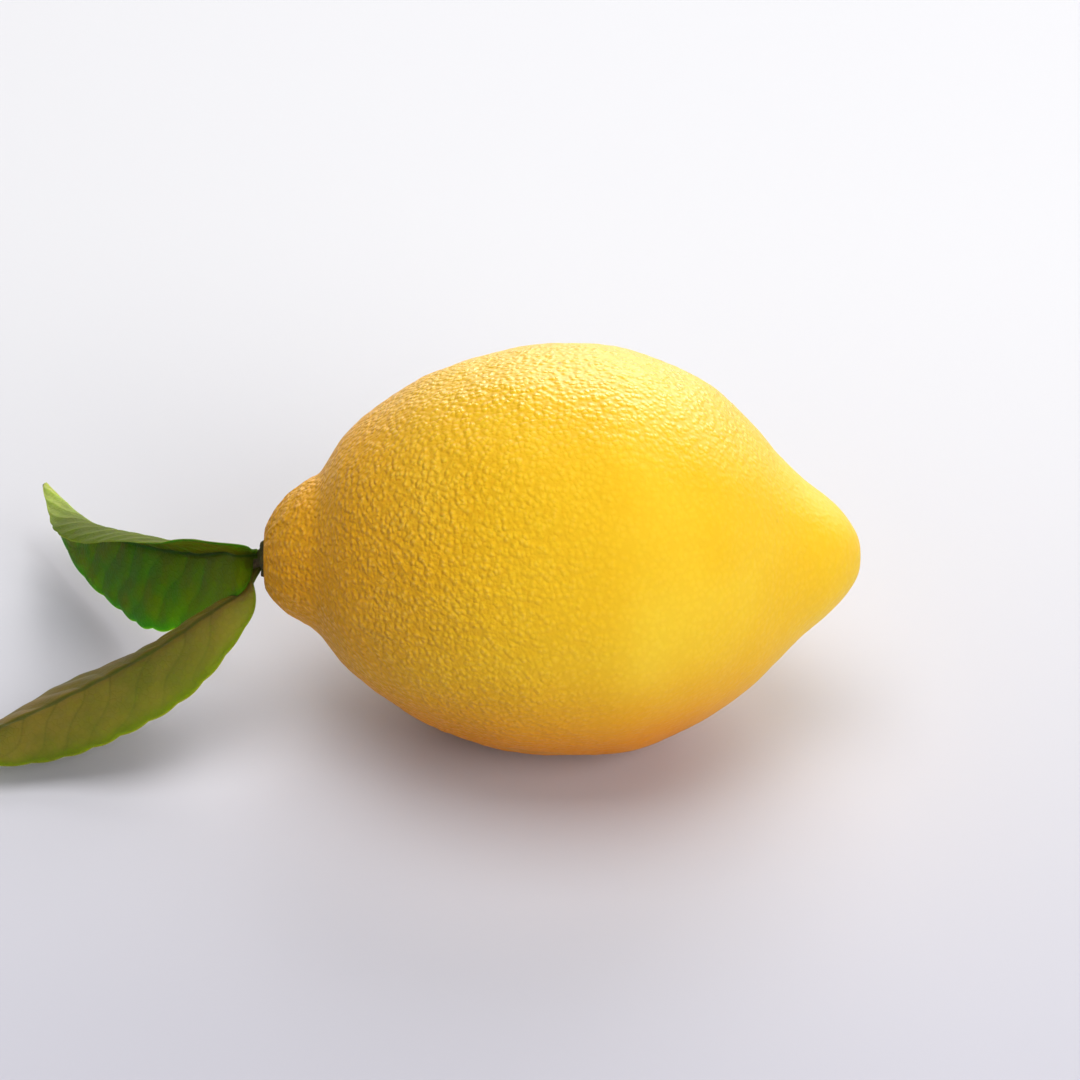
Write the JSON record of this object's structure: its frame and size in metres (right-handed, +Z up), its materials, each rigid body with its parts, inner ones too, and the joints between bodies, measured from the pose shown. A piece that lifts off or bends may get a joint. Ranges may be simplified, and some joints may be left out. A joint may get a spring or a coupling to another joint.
{
  "type": "lemon with leaves",
  "caption": "Whole ripe lemon lying on its side, with a neck, a blunt nipple, its stem button and folded green leaves.",
  "frame": {"origin": "on the flat spot that the lemon rests on, under the middle of the fruit's length", "axes": "+X along the fruit's long axis towards the nipple, +Z up from the surface it lies on, +Y away from the side that the picture shows"},
  "size_m": [0.1327, 0.0728, 0.0578],
  "materials": {
    "rind": "satin",
    "bark": "matte",
    "leaf_dark": "satin",
    "leaf_olive": "satin"
  },
  "bodies": {
    "root": {"fruit": "rind", "stem": "bark", "leaf_upper": "leaf_dark", "leaf_lower": "leaf_olive"}
  },
  "joints": []
}
